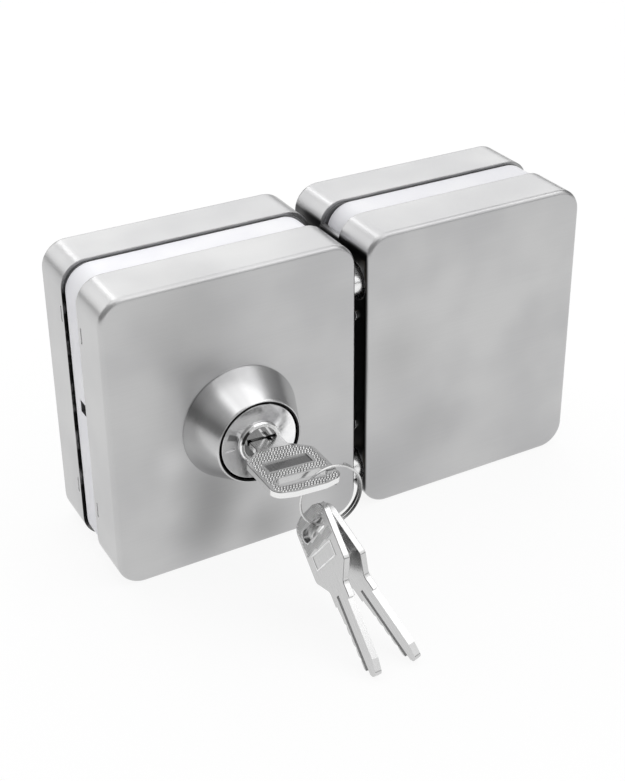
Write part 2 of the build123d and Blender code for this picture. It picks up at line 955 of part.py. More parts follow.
def carriage_pins():
    pins = []
    for x, level in slide_pin_places():
        thread = rod_y(small_screw_radius, x, level, -jaw_face, -slot_half - screw_end_gap)
        shoulder_front = carriage_front - carriage_clearance
        shoulder = rod_y(slide_pin_radius, x, level, shoulder_front, -jaw_face)
        head_front = shoulder_front - screw_head_height
        head = rod_y(slide_pin_head, x, level, head_front, shoulder_front)
        drive_depth = (head_front, head_front + screw_slot_depth)
        drive = Pos(x, 0, level) * block(
            half_range(2 * drive_reach), drive_depth, half_range(screw_slot_width)
        )
        pins.append(thread + shoulder + head - drive)
    return pins


def bolt(level):
    rod = rod_x(bolt_radius, bolt_middle, level, bolt_tail, bolt_tip)
    rod = chamfer(rod.faces().sort_by(Axis.X)[-1].edges(), bolt_chamfer)
    seat_end = bolt_tail + carriage_arm_width + 2 * inner_gap
    reach = bolt_radius + cut_past
    rod -= block(
        (bolt_tail - cut_past, seat_end), (carriage_front, bolt_middle + reach), (level - reach, level + reach)
    )
    for x in bolt_screw_places():
        rod -= rod_y(small_screw_radius, x, level, carriage_front - bolt_screw_depth, carriage_front)
    return rod


def bolt_screws():
    screws = []
    for level in bolt_levels:
        for x in bolt_screw_places():
            head_seat = carriage_back - bolt_screw_head
            head_radius = 2 * small_screw_radius - seat_clearance
            head = rod_y(head_radius, x, level, head_seat, carriage_back - seat_clearance)
            shank = rod_y(small_screw_radius, x, level, carriage_front - bolt_screw_depth, head_seat)
            screws.append(head + shank)
    return screws


def bolt_guide(level):
    """Block on the jaw behind the gap-side wall, bored for the bolt's bush."""
    near = cover_wall + inner_gap
    guide = block(
        from_gap(-1, near, near + guide_length),
        (bolt_middle - guide_lip, -jaw_face),
        (level - guide_height / 2, level + guide_height / 2),
    )
    bore = from_gap(-1, 0, near + guide_length + cut_past)
    guide -= rod_x(bolt_radius + bush_wall, bolt_middle, level, *bore)
    return guide - guide_screw(level)


def guide_screw_x():
    return -leaf_gap / 2 - cover_wall - inner_gap - guide_length / 2


def guide_screw(level):
    """Countersunk screw from the glass side of the jaw into the bolt guide."""
    x = guide_screw_x()
    shank = rod_y(small_screw_radius, x, level, -jaw_face - cut_past, -slot_half)
    head = Pos(x, -slot_half - small_screw_radius / 2, level) * Rot(90, 0, 0) * Cone(
        small_screw_radius, 2 * small_screw_radius, small_screw_radius
    )
    return shank + mirror(head, Plane.XZ.offset(slot_half + small_screw_radius / 2))


def bolt_bushes():
    """Plain bushes in the guides, flush with the cover's gap-side face."""
    bushes = []
    for level in bolt_levels:
        reach = from_gap(-1, 0, cover_wall + inner_gap + guide_length)
        sleeve = rod_x(bolt_radius + bush_wall, bolt_middle, level, *reach)
        bushes.append(sleeve - rod_x(bolt_radius + turning_clearance, bolt_middle, level, *reach))
    return bushes


# Strike parts

def keeper_foot_x():
    return leaf_gap / 2 + cover_wall + inner_gap + keeper_foot - 4 * small_screw_radius


def strike_keeper():
    """Angle plate behind the gap-side wall, with the sockets' seats and a foot on the jaw."""
    near = cover_wall + inner_gap
    length = bolt_spacing + 2 * socket_outer() + keeper_thickness
    upright = block(
        from_gap(1, near, near + keeper_thickness),
        (-inner_face, -jaw_face),
        (cylinder_level - length / 2, cylinder_level + length / 2),
    )
    foot_half = keeper_screw_levels[0] + 4 * small_screw_radius
    foot = block(
        from_gap(1, near, near + keeper_foot),
        (-jaw_face - keeper_thickness, -jaw_face),
        (-foot_half, foot_half),
    )
    keeper = upright + foot
    for level in bolt_levels:
        keeper -= rod_x(socket_outer(), bolt_middle, level, *from_gap(1, 0, near + keeper_foot))
    for screw in keeper_screws() + keeper_foot_screws():
        keeper -= screw
    return keeper


def socket_outer():
    return bolt_radius + socket_clearance + socket_wall


def bolt_socket(level):
    start = cover_wall + inner_gap
    end = start + socket_depth
    cup = rod_x(socket_outer(), bolt_middle, level, *from_gap(1, start, end))
    hollow = from_gap(1, start, end - socket_floor)
    return cup - rod_x(bolt_radius + socket_clearance, bolt_middle, level, *hollow)


def keeper_screws():
    """Small screws through the gap-side wall into the keeper."""
    screws = []
    for level in keeper_screw_levels:
        end = cover_wall + inner_gap + keeper_thickness
        shank = rod_x(small_screw_radius, bolt_middle, level, *from_gap(1, 0, end))
        head = rod_x(1.6 * small_screw_radius, bolt_middle, level, *from_gap(1, -keeper_head_height, 0))
        screws.append(shank + head)
    return screws


def keeper_foot_screws():
    screws = []
    for level in keeper_screw_levels:
        x = keeper_foot_x()
        head_seat = -jaw_face - keeper_thickness
        shank = rod_y(small_screw_radius, x, level, head_seat, -slot_half - screw_end_gap)
        head = rod_y(2 * small_screw_radius, x, level, head_seat - screw_head_height, head_seat)
        screws.append(shank + head)
    return screws


# Files

def save(name, pieces):
    if isinstance(pieces, list):
        pieces = Compound(children=[solid for piece in pieces for solid in piece.solids()])
    export_step(pieces, f"parts/{name}.step")
    print(name, len(pieces.solids()), round(pieces.volume, 1))


save("lock_front_cover", lock_front_cover())
save("lock_back_cover", cover(-1, back=True))
save("lock_front_jaw", lock_front_jaw())
save("lock_back_jaw", back_jaw(-1))
save("lock_clamp_screws", clamp_screws(-1))
save("lock_spine", spine(-1))
save("lock_spine_screws", spine_screws(-1))
save("lock_filler_board", lock_filler_board())

save("cone_escutcheon", cone_escutcheon())
save("cylinder_body", cylinder_body())
save("cylinder_nut", cylinder_nut())
save("plug", plug())
save("plug_clip", plug_clip())
save("key_pins", key_pins())
save("driver_pins", driver_pins())
save("pin_springs", pin_springs())
save("pin_caps", pin_caps())

save("key_in_lock", key_in_lock())
save("split_ring", split_ring())
save("hanging_key_left", hanging_key(**left_key_hang))
save("hanging_key_right", hanging_key(**right_key_hang))

save("drive_pinion", drive_pinion())
save("pinion_screw", pinion_screw())
save("bolt_carriage", bolt_carriage())
save("carriage_pins", carriage_pins())
save("upper_bolt", bolt(bolt_levels[0]))
save("lower_bolt", bolt(bolt_levels[1]))
save("bolt_screws", bolt_screws())
save("upper_bolt_guide", bolt_guide(bolt_levels[0]))
save("lower_bolt_guide", bolt_guide(bolt_levels[1]))
save("bolt_bushes", bolt_bushes())
save("guide_screws", [guide_screw(level) for level in bolt_levels])

save("strike_front_cover", strike_front_cover())
save("strike_back_cover", cover(1, back=True))
save("strike_front_jaw", strike_front_jaw())
save("strike_back_jaw", back_jaw(1))
save("strike_clamp_screws", clamp_screws(1))
save("strike_spine", spine(1))
save("strike_spine_screws", spine_screws(1))
save("strike_filler_board", filler_board(1))
save("strike_keeper", strike_keeper())
save("upper_socket", bolt_socket(bolt_levels[0]))
save("lower_socket", bolt_socket(bolt_levels[1]))
save("keeper_screws", keeper_screws())
save("keeper_foot_screws", keeper_foot_screws())
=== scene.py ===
# %% [markdown]
# # A keyed lock for a double glass door
#
# The object is a pair of steel boxes that clamp on two glass leaves. The left one holds a key
# cylinder and two round bolts, the right one takes the bolts. A key is in the cylinder, and two
# spare keys hang from it on a split ring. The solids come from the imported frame, so this lesson
# is about light, about finishes that are made from nodes, and about the small raised forms that
# are easier in mesh code than in CAD.

# %% Load the frame
import math

import bmesh
import bpy
from mathutils import Matrix, Vector


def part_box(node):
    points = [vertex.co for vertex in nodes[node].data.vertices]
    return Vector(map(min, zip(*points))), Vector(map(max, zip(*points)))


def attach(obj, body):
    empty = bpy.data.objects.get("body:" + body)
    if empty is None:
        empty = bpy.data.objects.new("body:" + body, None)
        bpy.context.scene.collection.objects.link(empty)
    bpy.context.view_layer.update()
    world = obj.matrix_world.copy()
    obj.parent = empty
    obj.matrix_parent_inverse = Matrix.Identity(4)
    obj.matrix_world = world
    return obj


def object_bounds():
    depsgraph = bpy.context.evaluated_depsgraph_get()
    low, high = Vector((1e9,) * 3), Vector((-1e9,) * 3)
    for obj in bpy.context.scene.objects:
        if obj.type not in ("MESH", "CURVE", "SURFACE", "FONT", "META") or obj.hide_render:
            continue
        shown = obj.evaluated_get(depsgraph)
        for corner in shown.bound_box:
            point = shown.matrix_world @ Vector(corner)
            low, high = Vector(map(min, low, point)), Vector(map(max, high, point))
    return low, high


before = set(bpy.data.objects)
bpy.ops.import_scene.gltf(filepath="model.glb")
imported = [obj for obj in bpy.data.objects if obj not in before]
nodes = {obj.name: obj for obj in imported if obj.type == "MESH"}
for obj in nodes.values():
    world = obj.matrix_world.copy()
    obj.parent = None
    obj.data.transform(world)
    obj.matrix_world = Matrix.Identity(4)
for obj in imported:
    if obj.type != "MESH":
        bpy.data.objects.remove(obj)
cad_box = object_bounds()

MM = 0.001
print("box in mm:", [round(side / MM, 1) for side in cad_box[1] - cad_box[0]])

# %% [markdown]
# ## The camera
#
# The camera stands where the photographer stood: left of the lock, above it, and looking down by
# 28 degrees. A rotation matrix is built from three plain directions, right, up and back, because
# those can be measured on a picture, while Euler angles can't. The small shift puts the lock as
# far off the middle of the frame as it is in the photograph.

# %% Camera
picture_width, picture_height = 625, 781
focal_pixels, sensor_width = 1458.5, 36.0
aim_pixel = (341.65, 311.22)
camera_place = (-0.20771, -0.37208, 0.23790)
view_right = Vector((0.86643, -0.49930, -0.00020))
view_down = Vector((-0.23202, -0.40226, -0.88564))
view_forward = Vector((0.44212, 0.76739, -0.46438))


def add_object(name, data):
    item = bpy.data.objects.new(name, data)
    bpy.context.scene.collection.objects.link(item)
    return item


camera_data = bpy.data.cameras.new("photo_camera")
camera_data.sensor_width = sensor_width
camera_data.lens = focal_pixels * sensor_width / picture_height
camera_data.shift_x = (picture_width / 2 - aim_pixel[0]) / picture_height
camera_data.shift_y = (aim_pixel[1] - picture_height / 2) / picture_height
camera_data.clip_start, camera_data.clip_end = 0.01, 20.0
camera = add_object("photo_camera", camera_data)
camera_axes = Matrix((view_right, -view_down, -view_forward)).transposed()
camera.matrix_world = Matrix.Translation(camera_place) @ camera_axes.to_4x4()
bpy.context.scene.camera = camera
print("lens:", round(camera_data.lens, 1), "mm")

# %% [markdown]
# ## Node helpers
#
# Every finish below is a small tree of nodes, and a few helpers keep the cells short. Where an
# input gets another node's socket, a link is made, and where it gets a number or colour, that is
# set on the socket itself. The helpers for sums give back an output socket, so that one can be
# used as the input of the next.

# %% Node helpers
def add_node(tree, kind, inputs=None, **settings):
    node = tree.nodes.new(kind)
    for name, value in settings.items():
        setattr(node, name, value)
    for name, value in (inputs or {}).items():
        socket = node.inputs[name]
        if isinstance(value, bpy.types.NodeSocket):
            tree.links.new(value, socket)
        else:
            socket.default_value = value
    return node


def math_node(tree, operation, first, second=0.0, third=0.0, clamp=False):
    inputs = {0: first, 1: second, 2: third}
    return add_node(tree, "ShaderNodeMath", inputs, operation=operation, use_clamp=clamp).outputs[0]


def vector_node(tree, operation, first, second):
    node = add_node(tree, "ShaderNodeVectorMath", {0: first, 1: second}, operation=operation)
    return node.outputs["Value" if operation in ("DOT_PRODUCT", "DISTANCE") else "Vector"]


def axes_of(tree, vector):
    return add_node(tree, "ShaderNodeSeparateXYZ", {0: vector}).outputs


def map_range(tree, value, ends, results=(0.0, 1.0), kind="LINEAR"):
    """Take a value between two ends to the same share between two results."""
    inputs = {
        "Value": value, "From Min": ends[0], "From Max": ends[1],
        "To Min": results[0], "To Max": results[1],
    }
    return add_node(tree, "ShaderNodeMapRange", inputs, interpolation_type=kind).outputs["Result"]


print("helpers for a tree:", [math_node.__name__, vector_node.__name__, map_range.__name__])

# %% [markdown]
# ## Groups and materials
#
# A pattern that several finishes need goes into a node group, which is a tree of its own with
# named inputs and outputs. Only numbers, vectors and colours leave a group here. The shader
# itself stays in each material, where a reader looks for it first.

# %% Group helpers
def start_group(name, inputs, outputs):
    """A new group and the sockets of its inputs, each a label, a kind and a first value."""
    tree = bpy.data.node_groups.new(name, "ShaderNodeTree")
    for label, kind, value in inputs:
        socket = tree.interface.new_socket(name=label, in_out="INPUT", socket_type=kind)
        if value is not None:
            socket.default_value = value
    for label, kind in outputs:
        tree.interface.new_socket(name=label, in_out="OUTPUT", socket_type=kind)
    return tree, tree.nodes.new("NodeGroupInput").outputs


def end_group(tree, results):
    group_output = tree.nodes.new("NodeGroupOutput")
    for label, socket in results.items():
        tree.links.new(socket, group_output.inputs[label])
    print("group", tree.name, "has", len(tree.nodes), "nodes")


def use_group(tree, group_tree, inputs):
    return add_node(tree, "ShaderNodeGroup", inputs, node_tree=group_tree).outputs


def start_material(name, values):
    """A new material, its tree, its Principled BSDF, and a place in the object's own space."""
    material = bpy.data.materials.new(name)
    material.use_nodes = True
    tree = material.node_tree
    surface = tree.nodes["Principled BSDF"]
    for label, value in values.items():
        surface.inputs[label].default_value = value
    place = tree.nodes.new("ShaderNodeTexCoord").outputs["Object"]
    return material, tree, surface, place


def place_in(material):
    return material.node_tree.nodes["Texture Coordinate"].outputs["Object"]


print("groups so far:", len(bpy.data.node_groups))

# %% [markdown]
# ## Grain: the fine scratches of a satin finish
#
# Satin stainless steel is rubbed with an abrasive belt, which leaves fine parallel scratches.
# Noise does this well if its space is stretched: a long way along the scratch for a short way
# across it. The group puts out a height for a Bump node and a mask that can tint colour or
# roughness by the same scratches.

# %% Grain group
grain_group, grain_in = start_group(
    "belt_grain",
    [("Vector", "NodeSocketVector", None), ("Along", "NodeSocketVector", (70.0, 2600.0, 2600.0))],
    [("Height", "NodeSocketFloat"), ("Mask", "NodeSocketFloat")],
)
stretched = vector_node(grain_group, "MULTIPLY", grain_in["Vector"], grain_in["Along"])
scratches = add_node(
    grain_group, "ShaderNodeTexNoise",
    {"Vector": stretched, "Scale": 1.0, "Detail": 3.0, "Roughness": 0.6},
).outputs["Fac"]
scratch_mask = map_range(grain_group, scratches, (0.35, 0.65))
end_group(grain_group, {"Height": scratches, "Mask": scratch_mask})

# %% [markdown]
# ## Clouds: the soft patches of a hand-held finish
#
# The photograph shows broad pale and dark patches on the front faces, several centimetres wide,
# where the belt pressed more or less. A low noise with its space warped by another noise looks
# less regular than plain noise.

# %% Cloud group
cloud_group, cloud_in = start_group(
    "soft_clouds",
    [("Vector", "NodeSocketVector", None), ("Scale", "NodeSocketFloat", 26.0)],
    [("Mask", "NodeSocketFloat")],
)
warp_noise = add_node(
    cloud_group, "ShaderNodeTexNoise",
    {"Vector": cloud_in["Vector"], "Scale": 18.0, "Detail": 1.0},
).outputs["Color"]
warp_way = vector_node(cloud_group, "ADD", warp_noise, (-0.5, -0.5, -0.5))
warp = add_node(
    cloud_group, "ShaderNodeVectorMath", {0: warp_way, "Scale": 12 * MM}, operation="SCALE"
).outputs["Vector"]
clouds = add_node(
    cloud_group, "ShaderNodeTexNoise",
    {
        "Vector": vector_node(cloud_group, "ADD", cloud_in["Vector"], warp),
        "Scale": cloud_in["Scale"], "Detail": 2.5, "Roughness": 0.55,
    },
).outputs["Fac"]
end_group(cloud_group, {"Mask": map_range(cloud_group, clouds, (0.3, 0.7), kind="SMOOTHSTEP")})

# %% [markdown]
# ## Edge shine: a painted highlight along the edges
#
# A bevelled normal differs from the true one only near an edge, so one minus their dot product
# is an edge mask that needs no baking. It paints the thin bright line, a painted highlight, that
# every pressed or stamped edge shows.

# %% Edge group
edge_group, edge_in = start_group(
    "edge_shine",
    [("Radius", "NodeSocketFloat", 0.6 * MM)],
    [("Mask", "NodeSocketFloat"), ("Normal", "NodeSocketVector")],
)
edge_gain = 3.0
rounded = add_node(
    edge_group, "ShaderNodeBevel", {"Radius": edge_in["Radius"]}, samples=4
).outputs["Normal"]
true_normal = add_node(edge_group, "ShaderNodeNewGeometry").outputs["Normal"]
agreement = vector_node(edge_group, "DOT_PRODUCT", rounded, true_normal)
difference = math_node(edge_group, "SUBTRACT", 1.0, agreement, clamp=True)
edge_mask = math_node(edge_group, "MULTIPLY", difference, edge_gain, clamp=True)
end_group(edge_group, {"Mask": edge_mask, "Normal": rounded})

# %% [markdown]
# ## Round the cylinder
#
# The rose, the chrome face and the key plug are turned pieces on one axis, and light falls on
# turned metal in wedges. This group gives the two things that such a finish is painted by: how far
# round the axis a point is, from 0 to 1 starting at the right and going up, and how far from the
# axis it is in millimetres.

# %% Axis group
cylinder_axis = Vector((-43.4, 0.0, -1.8))
axis_group, axis_in = start_group(
    "round_the_axis",
    [("Vector", "NodeSocketVector", None)],
    [("Turn", "NodeSocketFloat"), ("Radius", "NodeSocketFloat")],
)
from_axis = vector_node(axis_group, "SUBTRACT", axis_in["Vector"], cylinder_axis * MM)
axis_parts = axes_of(axis_group, from_axis)
angle = math_node(axis_group, "ARCTAN2", axis_parts["Z"], axis_parts["X"])
angle_share = math_node(axis_group, "MULTIPLY_ADD", angle, 0.5 / math.pi, 1.0)
z_square = math_node(axis_group, "POWER", axis_parts["Z"], 2.0)
square = math_node(axis_group, "MULTIPLY_ADD", axis_parts["X"], axis_parts["X"], z_square)
metres_out = math_node(axis_group, "SQRT", square)
end_group(
    axis_group,
    {
        "Turn": math_node(axis_group, "FRACT", angle_share),
        "Radius": math_node(axis_group, "MULTIPLY", metres_out, 1.0 / MM),
    },
)

# %% [markdown]
# ## A metal finish from the groups
#
# Every metal piece uses the same recipe with other numbers: a dark and a light colour mixed by
# the clouds, roughness between two values mixed by the scratches, and a bump from the grain.
# The long thin stretch of the grain gives a belt's scratches, and an even one a fine tooth.

# %% Metal recipe
def colour_mix(tree, factor, first, second):
    return add_node(
        tree, "ShaderNodeMix", {"Factor": factor, 6: first, 7: second}, data_type="RGBA"
    ).outputs[2]


def grey(value):
    return (value, value, value, 1)


def add_bump(tree, surface, height, strength, distance, more=None):
    inputs = {"Height": height, "Strength": strength, "Distance": distance, **(more or {})}
    relief = add_node(tree, "ShaderNodeBump", inputs)
    tree.links.new(relief.outputs["Normal"], surface.inputs["Normal"])


def metal(name, dark, light, smooth, rough, along, bump, cloud_scale=26.0, edge=0.15,
          anisotropic=0.0, edge_radius=0.5 * MM, grain_tint=0.06):
    material, tree, surface, place = start_material(
        name, {"Metallic": 1.0, "Anisotropic": anisotropic}
    )
    cloud = use_group(tree, cloud_group, {"Vector": place, "Scale": cloud_scale})["Mask"]
    grain = use_group(tree, grain_group, {"Vector": place, "Along": along})
    shine = use_group(tree, edge_group, {"Radius": edge_radius})
    base = colour_mix(tree, cloud, (*dark, 1), (*light, 1))
    streak = math_node(tree, "MULTIPLY_ADD", grain["Mask"], grain_tint, 1.0 - grain_tint / 2)
    streaked = vector_node(tree, "MULTIPLY", base, streak)
    # Painted highlight: the edge mask mixes the colour towards pale grey along every edge.
    edge_highlight = math_node(tree, "MULTIPLY", shine["Mask"], edge)
    tree.links.new(colour_mix(tree, edge_highlight, streaked, grey(0.9)), surface.inputs["Base Color"])
    dullness = map_range(tree, grain["Mask"], (0.0, 1.0), (smooth, rough))
    tree.links.new(dullness, surface.inputs["Roughness"])
    add_bump(tree, surface, grain["Height"], bump, 0.05 * MM, {"Normal": shine["Normal"]})
    return material


BELT_X = (45.0, 2600.0, 2600.0)
EVEN = (900.0, 900.0, 900.0)
satin_steel = metal(
    "satin_steel", (0.48, 0.48, 0.485), (0.56, 0.56, 0.56), 0.28, 0.34, BELT_X, 0.06,
    edge=0.9, grain_tint=0.03,
)
bolt_polish = metal("bolt_polish", (0.86, 0.86, 0.86), (0.94, 0.94, 0.94), 0.2, 0.3, EVEN, 0.03)
bright_steel = metal("bright_steel", (0.66, 0.66, 0.67), (0.8, 0.8, 0.8), 0.06, 0.12, EVEN, 0.02)
jaw_zinc = metal("jaw_zinc", (0.26, 0.26, 0.27), (0.36, 0.36, 0.36), 0.45, 0.6, EVEN, 0.5)
screw_steel = metal("screw_steel", (0.55, 0.55, 0.56), (0.72, 0.72, 0.72), 0.2, 0.32, EVEN, 0.1)
brass = metal("turned_brass", (0.62, 0.44, 0.18), (0.76, 0.58, 0.28), 0.2, 0.34, EVEN, 0.1)
spring_steel = metal("spring_steel", (0.36, 0.36, 0.38), (0.5, 0.5, 0.52), 0.25, 0.35, EVEN, 0.1)
metals = [satin_steel, bolt_polish, bright_steel, jaw_zinc, screw_steel, brass, spring_steel]
print("metals:", [material.name for material in metals])

# %% [markdown]
# ## The dark gaps
#
# Hardly any light reaches the walls of the narrow gap between the units, so a band across X
# paints that shade into the satin steel there, so that the two units read as separate boxes. A
# second, narrower band across Y paints the shade of the slits onto the lips of the back covers,
# where a thin dark line runs beside the white boards, broken in places and faint along the top.
# A shade is multiplied into the base colour, so that several can follow one another.

# %% Gap shade
def band(tree, value, low, high, blur):
    """One between low and high, falling to zero over the blur at either end."""
    rise = math_node(tree, "MULTIPLY_ADD", value, 1.0 / blur, 0.5 - low / blur, clamp=True)
    fall = math_node(tree, "MULTIPLY_ADD", value, -1.0 / blur, 0.5 + high / blur, clamp=True)
    return math_node(tree, "MULTIPLY", rise, fall)


def where_all(tree, *limits):
    """One where each value is in its band, every limit being a value, low, high and blur."""
    inside = band(tree, *limits[0])
    for limit in limits[1:]:
        inside = math_node(tree, "MULTIPLY", inside, band(tree, *limit))
    return inside


def shaded(material, shade):
    """Multiply a socket with a shade into the base colour."""
    tree = material.node_tree
    base = tree.nodes["Principled BSDF"].inputs["Base Color"]
    tree.links.new(vector_node(tree, "MULTIPLY", base.links[0].from_socket, shade), base)


def darkened(material, mask, loss):
    """Take this share of the base colour away where the mask is one."""
    shaded(material, math_node(material.node_tree, "MULTIPLY_ADD", mask, -loss, 1.0))


gap_half = 2.4
satin_tree, satin_place = satin_steel.node_tree, place_in(satin_steel)
satin_parts = axes_of(satin_tree, satin_place)
# Painted shade: a band across X darkens the satin steel on the walls of the narrow gap.
gap_painted_shade = band(satin_tree, satin_parts["X"], -gap_half * MM, gap_half * MM, 0.4 * MM)
darkened(satin_steel, gap_painted_shade, 0.88)

# Painted shade: a thin dark line along the lips of the back covers, beside the white boards.
on_lip = band(satin_tree, satin_parts["Y"], 5.9 * MM, 6.33 * MM, 0.12 * MM)
below_top = band(satin_tree, satin_parts["Z"], -60 * MM, 43 * MM, 6 * MM)
specks = use_group(satin_tree, cloud_group, {"Vector": satin_place, "Scale": 150.0})["Mask"]
faint_at_top = math_node(satin_tree, "MULTIPLY_ADD", below_top, 0.62, 0.36)
broken = math_node(satin_tree, "MULTIPLY_ADD", specks, 0.5, 0.72, clamp=True)
lip_painted_shade = math_node(satin_tree, "MULTIPLY", faint_at_top, broken)
darkened(satin_steel, math_node(satin_tree, "MULTIPLY", lip_painted_shade, on_lip), 1.0)
print("gap shade covers x within", gap_half, "mm")

# %% [markdown]
# ## Painted reflection patches on the fronts
#
# The broad fronts have a few soft darker and lighter places painted in as reflections, the
# darkest below the rose. One small group makes such a place from its centre, its radius and the
# shade in its middle. The centres lie on the front, so that the back keeps clear of them.

# %% Patch group
patch_group, patch_in = start_group(
    "soft_patch",
    [
        ("Vector", "NodeSocketVector", None),
        ("Centre", "NodeSocketVector", (0.0, 0.0, 0.0)),
        ("Radius", "NodeSocketFloat", 15 * MM),
        ("Middle", "NodeSocketFloat", 0.8),
    ],
    [("Shade", "NodeSocketFloat")],
)
patch_distance = vector_node(patch_group, "DISTANCE", patch_in["Vector"], patch_in["Centre"])
patch_shade = map_range(
    patch_group, patch_distance, (0.0, patch_in["Radius"]), (patch_in["Middle"], 1.0), "SMOOTHSTEP"
)
end_group(patch_group, {"Shade": patch_shade})


def add_patch(material, centre, radius, middle):
    patch = {
        "Vector": place_in(material), "Centre": Vector(centre) * MM, "Radius": radius * MM,
        "Middle": middle,
    }
    shaded(material, use_group(material.node_tree, patch_group, patch)["Shade"])


# Painted reflections: centre and radius in mm, and the shade in the middle.
painted_reflection_patches = [
    ((-53, -24, -23), 18, 0.64), ((-56, -24, -37), 16, 0.68), ((-60, -24, 38), 24, 0.84),
    ((-67, -24, -9), 9, 1.12), ((-36, -24, -43), 14, 0.76), ((13, -24, 6), 20, 0.86),
    ((4, -24, -40), 24, 0.9), ((26, -24, -26), 18, 0.9),
]
for centre, radius, middle in painted_reflection_patches:
    add_patch(satin_steel, centre, radius, middle)
print("painted reflection patches:", len(painted_reflection_patches))

# %% [markdown]
# ## The conical rose
#
# The rose round the cylinder was finished on a lathe, so its scratches run round the axis and
# its highlights spread along the cone as wedges. The Principled BSDF's anisotropy does this with
# a tangent that runs round the Y axis. A colour ramp round the axis adds uneven bright and dark
# wedges as painted highlights and painted shade, and the bore, which nothing lights, is painted
# nearly black as shade.

# %% Turned steel
LATHE_Y = (60.0, 5200.0, 60.0)
turned_steel = metal(
    "turned_steel", (0.56, 0.56, 0.565), (0.64, 0.64, 0.64), 0.2, 0.26, LATHE_Y, 0.04,
    cloud_scale=60.0, anisotropic=0.6, edge=0.5, grain_tint=0.03,
)


def turned_shade(material, wedges, dark_from, dark_to):
    """Paint light and shade on a turned piece by wedges of (degrees, grey), black between two
    radii.
    """
    tree = material.node_tree
    axis = use_group(tree, axis_group, {"Vector": place_in(material)})
    ramp = add_node(tree, "ShaderNodeValToRGB", {"Fac": axis["Turn"]})
    stops = ramp.color_ramp.elements
    for number, (degrees, value) in enumerate(wedges):
        stop = stops[number] if number < 2 else stops.new(degrees / 360)
        stop.position, stop.color = degrees / 360, grey(value)
    shaded(material, ramp.outputs["Color"])
    darkened(material, band(tree, axis["Radius"], dark_from, dark_to, 0.08), 0.97)
    return axis


turned_tree = turned_steel.node_tree
round_axis = add_node(turned_tree, "ShaderNodeTangent", direction_type="RADIAL", axis="Y")
turned_tree.links.new(
    round_axis.outputs[0], turned_tree.nodes["Principled BSDF"].inputs["Tangent"]
)
bore_radius = 13.6
# Painted highlights and shade: wedges of grey round the axis, and the bore painted nearly black.
turned_shade(
    turned_steel,
    [(0, 1.0), (360, 1.0), (40, 0.95), (68, 0.95), (77, 1.1), (84, 1.3), (94, 1.32), (102, 1.12),
     (112, 1.1), (118, 1.3), (125, 1.25), (134, 1.05), (147, 0.62), (158, 0.78), (182, 1.0),
     (215, 0.9), (240, 1.0)],
    0.0, bore_radius,
)
print("turned steel has tangent:", round_axis.axis)

# %% [markdown]
# ## The chrome face
#
# The face of the cylinder is polished, and mirrors pale things on the right and darker ones on the
# left, with a black line round it where it drops into the rose. The line is broader on the upper
# left, and a short dark bar is mirrored beside the plug there. A ramp and three bands paint this,
# because the things that a real face mirrors aren't in the scene.

# %% Chrome face
face_edge, rose_bore = 12.76, 14.0
chrome_face = metal(
    "chrome_face", (0.66, 0.66, 0.67), (0.74, 0.74, 0.74), 0.1, 0.16, EVEN, 0.012,
    cloud_scale=180.0, edge=0.6, edge_radius=0.3 * MM, grain_tint=0.02,
)
face_tree = chrome_face.node_tree
face_axis = turned_shade(
    chrome_face,
    [(0, 1.3), (360, 1.3), (36, 1.3), (44, 0.85), (75, 0.8), (100, 0.95), (125, 0.85), (150, 0.9),
     (205, 0.85), (255, 0.9), (300, 1.0), (330, 1.25)],
    face_edge, rose_bore,
)
for radii, turns, loss in (
    ((8.0, 11.2), (0.418, 0.45), 0.6),
    ((12.5, rose_bore), (0.2, 0.6), 0.97),
):
    dark_place = where_all(
        face_tree, (face_axis["Radius"], *radii, 0.1), (face_axis["Turn"], *turns, 0.008)
    )
    darkened(chrome_face, dark_place, loss)
print("chrome face nodes:", len(face_tree.nodes))

# %% [markdown]
# ## The key plug
#
# The plug has a bright raised rim, and a recessed face that is painted darker as shade, apart from
# two bright streaks that slant down to the keyway. The rim is painted black where it mirrors the
# dark upper left, and the keyway is painted black as shade, as no light comes back from it. The
# bands here are in millimetres from the axis.

# %% Key plug
plug_chrome = metal(
    "plug_chrome", (0.8, 0.8, 0.8), (0.88, 0.88, 0.88), 0.12, 0.18, EVEN, 0.012,
    cloud_scale=200.0, edge=0.6, edge_radius=0.3 * MM, grain_tint=0.02,
)
plug_tree = plug_chrome.node_tree
plug_axis = turned_shade(
    plug_chrome, [(0, 1.0), (360, 1.0), (90, 1.05), (180, 1.1), (270, 1.0)], 0.0, 0.1
)
plug_offset = vector_node(plug_tree, "SUBTRACT", place_in(plug_chrome), cylinder_axis * MM)
plug_parts = axes_of(
    plug_tree, vector_node(plug_tree, "MULTIPLY", plug_offset, (1 / MM, 1 / MM, 1 / MM))
)
recess = band(plug_tree, plug_axis["Radius"], -1.0, 5.45, 0.1)
slanted = math_node(plug_tree, "MULTIPLY_ADD", plug_parts["Z"], 0.55, plug_parts["X"])
both_streaks = math_node(
    plug_tree, "ADD",
    band(plug_tree, slanted, 2.15, 2.85, 0.2), band(plug_tree, slanted, 4.5, 5.2, 0.2),
)
streaks = math_node(
    plug_tree, "MULTIPLY", both_streaks, band(plug_tree, plug_parts["Z"], 0.9, 4.6, 0.3)
)
# Painted shade: the recessed face is darkened, apart from the two bright streaks.
recess_painted_shade = math_node(plug_tree, "MULTIPLY", recess, math_node(plug_tree, "SUBTRACT", 1.0, streaks))
darkened(plug_chrome, recess_painted_shade, 0.66)

